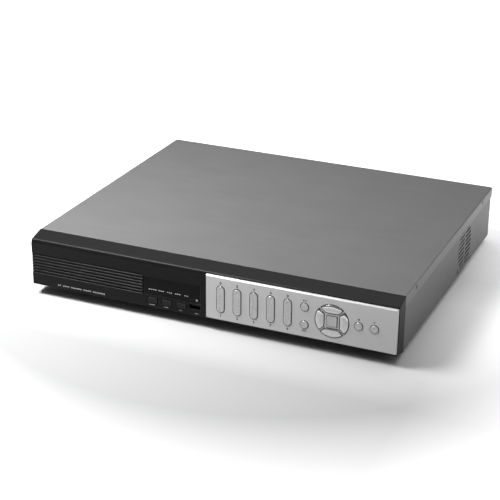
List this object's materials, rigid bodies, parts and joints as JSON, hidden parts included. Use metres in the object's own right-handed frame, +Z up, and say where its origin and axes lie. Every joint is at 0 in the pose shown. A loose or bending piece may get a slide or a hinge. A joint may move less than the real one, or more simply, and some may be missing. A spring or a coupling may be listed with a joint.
{
  "type": "digital video recorder",
  "caption": "Full-width digital video recorder: steel case, black moulded bezel with grooves and window, silver key panel with cursor ring, rear jacks and a side fan.",
  "frame": {"origin": "centre of the footprint, on the surface the feet stand on", "axes": "+X to the right seen from the front, +Y towards the rear sockets, +Z up"},
  "size_m": [0.43, 0.382, 0.0716],
  "materials": {
    "case_steel": "satin powder coat, dark grey",
    "cover_steel": "satin fine-textured powder coat, grey",
    "plated_screws": "zinc plated",
    "black_bezel": "fine satin moulded plastic",
    "silver_panel": "silver metallic lacquer",
    "silver_keys": "silver metallic lacquer, semi-gloss",
    "black_keys": "semi-gloss",
    "smoked_window": "smoked acrylic",
    "lamps": "clear tinted epoxy",
    "rubber": "matt moulded rubber",
    "tin_plate": "tin plated",
    "nickel": "nickel plated",
    "white_plastic": "moulded",
    "gold": "gold plated",
    "blue_plastic": "moulded",
    "green_plastic": "moulded",
    "black_plastic": "moulded",
    "circuit_board": "green solder mask",
    "cable": "soft cable jacket",
    "aluminium": "cast and machined",
    "steel": "zinc plated",
    "supply_board": "board with wound parts"
  },
  "bodies": {
    "root": {"base_tray": "case_steel", "rear_panel": "case_steel", "top_cover": "cover_steel", "case_screws": "plated_screws", "foot_screws": "plated_screws", "fan_screws": "plated_screws", "drive_screws": "plated_screws", "board_screws": "plated_screws", "front_bezel": "black_bezel", "control_panel": "silver_panel", "display_window": "smoked_window", "indicator_lamps": "lamps", "rubber_feet": "rubber", "usb_shells": "tin_plate", "network_port": "tin_plate", "vga_shell": "tin_plate", "inlet_blades": "tin_plate", "video_jacks": "nickel", "jack_nuts": "nickel", "board_spacers": "nickel", "usb_tongues": "white_plastic", "jack_insulators": "white_plastic", "jack_contacts": "gold", "phono_jacks": "gold", "vga_insert": "blue_plastic", "alarm_terminals": "green_plastic", "power_inlet": "black_plastic", "power_switch_frame": "black_plastic", "key_switches": "black_plastic", "board_chips": "black_plastic", "fan_frame": "black_plastic", "key_board": "circuit_board", "main_board": "circuit_board", "jack_board": "circuit_board", "ribbon_cable": "cable", "drive_cables": "cable", "heat_sink": "aluminium", "hard_drive": "aluminium", "coin_cell": "steel", "drive_bracket": "steel", "power_supply": "supply_board"},
    "number_key_0_1": {"number_key_0_1": "silver_keys"},
    "number_key_2_3": {"number_key_2_3": "silver_keys"},
    "number_key_4_5": {"number_key_4_5": "silver_keys"},
    "number_key_6_7": {"number_key_6_7": "silver_keys"},
    "number_key_8_9": {"number_key_8_9": "silver_keys"},
    "escape_button": {"escape_button": "silver_keys"},
    "menu_button": {"menu_button": "silver_keys"},
    "nav_key_up": {"nav_key_up": "silver_keys"},
    "nav_key_down": {"nav_key_down": "silver_keys"},
    "nav_key_left": {"nav_key_left": "silver_keys"},
    "nav_key_right": {"nav_key_right": "silver_keys"},
    "enter_button": {"enter_button": "silver_keys"},
    "record_button": {"record_button": "silver_keys"},
    "play_button": {"play_button": "silver_keys"},
    "function_key_left": {"function_key_left": "black_keys"},
    "function_key_middle": {"function_key_middle": "black_keys"},
    "function_key_right": {"function_key_right": "black_keys"},
    "fan_rotor": {"fan_rotor": "black_plastic"},
    "power_switch_rocker": {"power_switch_rocker": "black_plastic"}
  },
  "joints": [
    {"name": "number_key_0_1_tilt", "type": "hinge", "parent": "root", "child": "number_key_0_1", "pos_m": [0.0183, -0.1881, 0.0388], "axis": [1, 0, 0], "range_deg": [-3.5, 3.5], "stiffness_Nm_per_rad": 0.12},
    {"name": "number_key_2_3_tilt", "type": "hinge", "parent": "root", "child": "number_key_2_3", "pos_m": [0.03745, -0.1881, 0.0388], "axis": [1, 0, 0], "range_deg": [-3.5, 3.5], "stiffness_Nm_per_rad": 0.12},
    {"name": "number_key_4_5_tilt", "type": "hinge", "parent": "root", "child": "number_key_4_5", "pos_m": [0.0566, -0.1881, 0.0388], "axis": [1, 0, 0], "range_deg": [-3.5, 3.5], "stiffness_Nm_per_rad": 0.12},
    {"name": "number_key_6_7_tilt", "type": "hinge", "parent": "root", "child": "number_key_6_7", "pos_m": [0.07575, -0.1881, 0.0388], "axis": [1, 0, 0], "range_deg": [-3.5, 3.5], "stiffness_Nm_per_rad": 0.12},
    {"name": "number_key_8_9_tilt", "type": "hinge", "parent": "root", "child": "number_key_8_9", "pos_m": [0.0949, -0.1881, 0.0388], "axis": [1, 0, 0], "range_deg": [-3.5, 3.5], "stiffness_Nm_per_rad": 0.12},
    {"name": "escape_button_press", "type": "slide", "parent": "root", "child": "escape_button", "axis": [0, 1, 0], "range_m": [0, 0.0008], "stiffness_N_per_m": 900},
    {"name": "menu_button_press", "type": "slide", "parent": "root", "child": "menu_button", "axis": [0, 1, 0], "range_m": [0, 0.0008], "stiffness_N_per_m": 900},
    {"name": "nav_key_up_press", "type": "slide", "parent": "root", "child": "nav_key_up", "axis": [0, 1, 0], "range_m": [0, 0.0008], "stiffness_N_per_m": 900},
    {"name": "nav_key_down_press", "type": "slide", "parent": "root", "child": "nav_key_down", "axis": [0, 1, 0], "range_m": [0, 0.0008], "stiffness_N_per_m": 900},
    {"name": "nav_key_left_press", "type": "slide", "parent": "root", "child": "nav_key_left", "axis": [0, 1, 0], "range_m": [0, 0.0008], "stiffness_N_per_m": 900},
    {"name": "nav_key_right_press", "type": "slide", "parent": "root", "child": "nav_key_right", "axis": [0, 1, 0], "range_m": [0, 0.0008], "stiffness_N_per_m": 900},
    {"name": "enter_button_press", "type": "slide", "parent": "root", "child": "enter_button", "axis": [0, 1, 0], "range_m": [0, 0.0008], "stiffness_N_per_m": 900},
    {"name": "record_button_press", "type": "slide", "parent": "root", "child": "record_button", "axis": [0, 1, 0], "range_m": [0, 0.0008], "stiffness_N_per_m": 900},
    {"name": "play_button_press", "type": "slide", "parent": "root", "child": "play_button", "axis": [0, 1, 0], "range_m": [0, 0.0008], "stiffness_N_per_m": 900},
    {"name": "function_key_left_press", "type": "slide", "parent": "root", "child": "function_key_left", "axis": [0, 1, 0], "range_m": [0, 0.0006], "stiffness_N_per_m": 900},
    {"name": "function_key_middle_press", "type": "slide", "parent": "root", "child": "function_key_middle", "axis": [0, 1, 0], "range_m": [0, 0.0006], "stiffness_N_per_m": 900},
    {"name": "function_key_right_press", "type": "slide", "parent": "root", "child": "function_key_right", "axis": [0, 1, 0], "range_m": [0, 0.0006], "stiffness_N_per_m": 900},
    {"name": "fan_spin", "type": "hinge", "parent": "root", "child": "fan_rotor", "pos_m": [0.2062, 0.065, 0.0383], "axis": [1, 0, 0], "continuous": true},
    {"name": "power_switch_rock", "type": "hinge", "parent": "root", "child": "power_switch_rocker", "pos_m": [-0.2015, 0.175, 0.038], "axis": [1, 0, 0], "range_deg": [-16, 0]}
  ]
}
